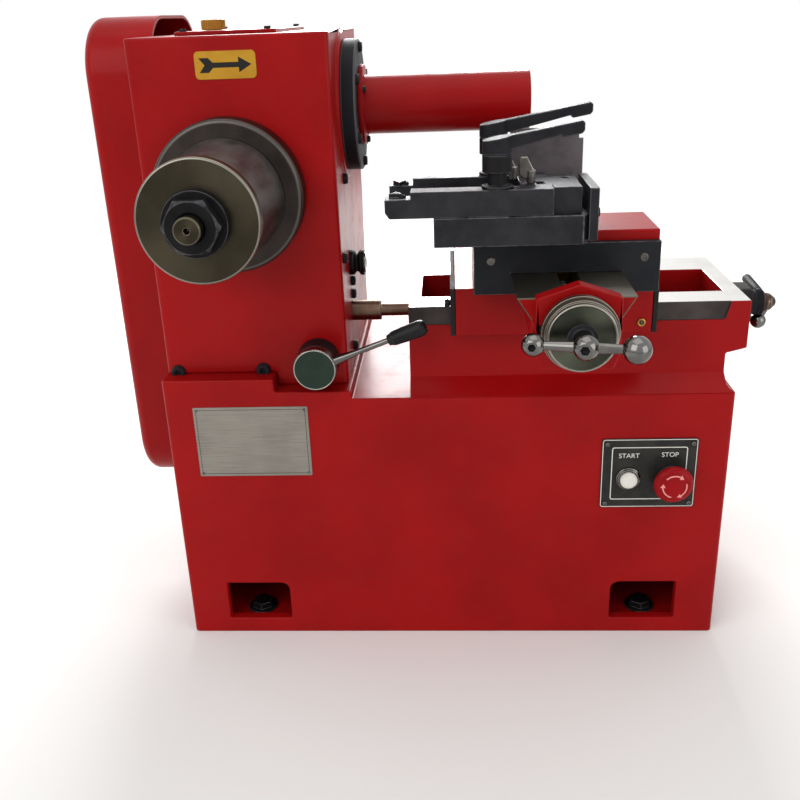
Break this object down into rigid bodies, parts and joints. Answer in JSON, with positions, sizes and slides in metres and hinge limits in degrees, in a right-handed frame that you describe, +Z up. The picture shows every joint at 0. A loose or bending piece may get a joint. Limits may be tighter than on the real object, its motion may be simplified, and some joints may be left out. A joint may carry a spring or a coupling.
{
  "type": "brake lathe",
  "caption": "Red bench brake lathe with a disc spindle, a drum spindle under a guard tube, cross slide, twin tool bars and start and stop buttons.",
  "frame": {"origin": "middle of the base's flat underside, on the surface the machine stands on", "axes": "+X to the right along the bed, away from the headstock; +Y to the back, away from the operator; +Z up"},
  "size_m": [0.6903, 0.4819, 0.631],
  "materials": {
    "red_paint": "glossy red machine paint",
    "black_steel": "black oxide",
    "gunmetal": "turned gunmetal",
    "plate_steel": "ground, oiled",
    "bright_steel": "turned",
    "brown_steel": "turned, oiled",
    "chrome": "polished",
    "cast_iron": "dark primer",
    "grey_plate": "dark grey oxide",
    "brass": "turned",
    "yellow_plastic": "satin",
    "black_plastic": "satin",
    "rubber": "matte",
    "aluminium": "brushed",
    "red_plastic": "gloss",
    "white_plastic": "satin",
    "hub_green": "dark green enamel on a bright rim"
  },
  "bodies": {
    "root": {"base_casting": "red_paint", "base_rear_cover": "red_paint", "foot_bolt_right": "black_steel", "foot_bolt_left": "black_steel", "bed": "red_paint", "headstock": "red_paint", "headstock_top_cover": "red_paint", "disc_bearing_cap": "gunmetal", "drum_bearing_cap": "black_steel", "guard_tube": "red_paint", "belt_cover": "red_paint", "drive_belt": "rubber", "motor_body": "cast_iron", "motor_mount": "cast_iron", "feed_end_bracket": "cast_iron", "control_panel": "aluminium", "nameplate": "aluminium", "arrow_label": "yellow_plastic"},
    "filler_cap_body": {"filler_cap": "yellow_plastic"},
    "disc_spindle_body": {"disc_spindle": "bright_steel", "cone_adaptor": "gunmetal", "face_plate": "plate_steel", "clamp_washer": "black_steel", "spindle_nut": "black_steel"},
    "drum_spindle_body": {"drum_spindle": "bright_steel"},
    "worm_shaft_body": {"worm_shaft": "bright_steel"},
    "motor_shaft_body": {"motor_shaft": "bright_steel"},
    "leadscrew_body": {"leadscrew": "brown_steel", "feed_dial": "bright_steel", "feed_crank": "chrome", "feed_crank_grip": "black_plastic"},
    "feed_spool_body": {"feed_spool": "black_steel"},
    "saddle_body": {"saddle": "red_paint", "way_wiper_left": "rubber", "way_wiper_right": "rubber", "leadscrew_nut": "brass", "screw_bracket": "red_paint"},
    "cross_screw_body": {"cross_screw": "bright_steel", "cross_dial": "bright_steel", "cross_ball_handle": "chrome"},
    "cross_slide_body": {"cross_slide": "red_paint", "slide_front_plate": "black_steel", "cross_nut": "brass", "tool_slide_base": "black_steel", "tool_middle_block": "black_steel", "tool_end_plate": "black_steel", "chip_guard": "grey_plate", "clamp_post_front": "black_steel", "clamp_post_rear": "black_steel"},
    "tool_bar_front_body": {"tool_bar_front": "black_steel"},
    "tool_bar_rear_body": {"tool_bar_rear": "black_steel"},
    "clamp_lever_front_body": {"clamp_lever_front": "black_steel"},
    "clamp_lever_rear_body": {"clamp_lever_rear": "black_steel"},
    "lock_screw_front_body": {"lock_screw_front": "grey_plate"},
    "lock_screw_rear_body": {"lock_screw_rear": "grey_plate"},
    "shift_lever_body": {"shift_lever": "hub_green", "shift_lever_grip": "black_plastic"},
    "start_button_body": {"start_button": "white_plastic"},
    "stop_plunger_body": {"stop_plunger": "black_plastic"},
    "stop_button_body": {"stop_button": "red_plastic"}
  },
  "joints": [
    {"name": "worm_shaft_turn", "type": "hinge", "parent": "root", "child": "worm_shaft_body", "pos_m": [-0.2, 0.049, 0.5415], "axis": [1, 0, 0], "continuous": true},
    {"name": "disc_spindle_turn", "type": "hinge", "parent": "root", "child": "disc_spindle_body", "pos_m": [-0.1941, -0.1, 0.4746], "axis": [0, 1, 0], "continuous": true},
    {"name": "drum_spindle_turn", "type": "hinge", "parent": "root", "child": "drum_spindle_body", "pos_m": [-0.1, -0.03, 0.5415], "axis": [1, 0, 0], "continuous": true},
    {"name": "motor_shaft_turn", "type": "hinge", "parent": "root", "child": "motor_shaft_body", "pos_m": [-0.2, 0.049, 0.19], "axis": [1, 0, 0], "continuous": true},
    {"name": "filler_cap_unscrew", "type": "hinge", "parent": "root", "child": "filler_cap_body", "pos_m": [-0.2141, -0.05, 0.62], "axis": [0, 0, 1], "range_deg": [0, 720]},
    {"name": "feed_spool_turn", "type": "hinge", "parent": "root", "child": "feed_spool_body", "pos_m": [-0.09, -0.051, 0.3875], "axis": [1, 0, 0], "continuous": true},
    {"name": "leadscrew_turn", "type": "hinge", "parent": "root", "child": "leadscrew_body", "pos_m": [0.2, -0.051, 0.336], "axis": [1, 0, 0], "range_deg": [-6301, 3601]},
    {"name": "saddle_travel", "type": "slide", "parent": "root", "child": "saddle_body", "axis": [1, 0, 0], "range_m": [-0.04, 0.07]},
    {"name": "cross_screw_turn", "type": "hinge", "parent": "saddle_body", "child": "cross_screw_body", "pos_m": [0.1115, -0.2, 0.38], "axis": [0, 1, 0], "range_deg": [-6301, 901]},
    {"name": "cross_slide_travel", "type": "slide", "parent": "saddle_body", "child": "cross_slide_body", "axis": [0, 1, 0], "range_m": [-0.07, 0.01]},
    {"name": "tool_bar_front_slide", "type": "slide", "parent": "cross_slide_body", "child": "tool_bar_front_body", "axis": [1, 0, 0], "range_m": [-0.008, 0]},
    {"name": "tool_bar_rear_slide", "type": "slide", "parent": "cross_slide_body", "child": "tool_bar_rear_body", "axis": [1, 0, 0], "range_m": [-0.008, 0]},
    {"name": "clamp_lever_front_swing", "type": "hinge", "parent": "cross_slide_body", "child": "clamp_lever_front_body", "pos_m": [0.0475, -0.208, 0.52], "axis": [0, 0, 1], "range_deg": [-60, 0]},
    {"name": "clamp_lever_rear_swing", "type": "hinge", "parent": "cross_slide_body", "child": "clamp_lever_rear_body", "pos_m": [0.0475, -0.137, 0.525], "axis": [0, 0, 1], "range_deg": [0, 40]},
    {"name": "lock_screw_front_turn", "type": "hinge", "parent": "cross_slide_body", "child": "lock_screw_front_body", "pos_m": [0.077, -0.185, 0.49], "axis": [0, 0, 1], "range_deg": [0, 40]},
    {"name": "lock_screw_rear_turn", "type": "hinge", "parent": "cross_slide_body", "child": "lock_screw_rear_body", "pos_m": [0.063, -0.162, 0.49], "axis": [0, 0, 1], "range_deg": [0, 40]},
    {"name": "shift_lever_swing", "type": "hinge", "parent": "root", "child": "shift_lever_body", "pos_m": [-0.124, -0.13, 0.311], "axis": [0, -1, 0], "range_deg": [-10, 45]},
    {"name": "start_press", "type": "slide", "parent": "root", "child": "start_button_body", "axis": [0, 1, 0], "range_m": [0, 0.003], "stiffness_N_per_m": 300},
    {"name": "stop_press", "type": "slide", "parent": "root", "child": "stop_plunger_body", "axis": [0, 1, 0], "range_m": [0, 0.004], "stiffness_N_per_m": 400},
    {"name": "stop_release_twist", "type": "hinge", "parent": "stop_plunger_body", "child": "stop_button_body", "pos_m": [0.2235, -0.16, 0.1856], "axis": [0, 1, 0], "range_deg": [0, 30]}
  ],
  "couplings": [
    {"joint": "disc_spindle_turn", "follows": "worm_shaft_turn", "ratio": 0.1},
    {"joint": "drum_spindle_turn", "follows": "worm_shaft_turn", "ratio": 0.1},
    {"joint": "motor_shaft_turn", "follows": "worm_shaft_turn", "ratio": 2},
    {"joint": "leadscrew_turn", "follows": "saddle_travel", "rad_per_m": -1570.8},
    {"joint": "cross_screw_turn", "follows": "cross_slide_travel", "rad_per_m": 1570.8}
  ]
}
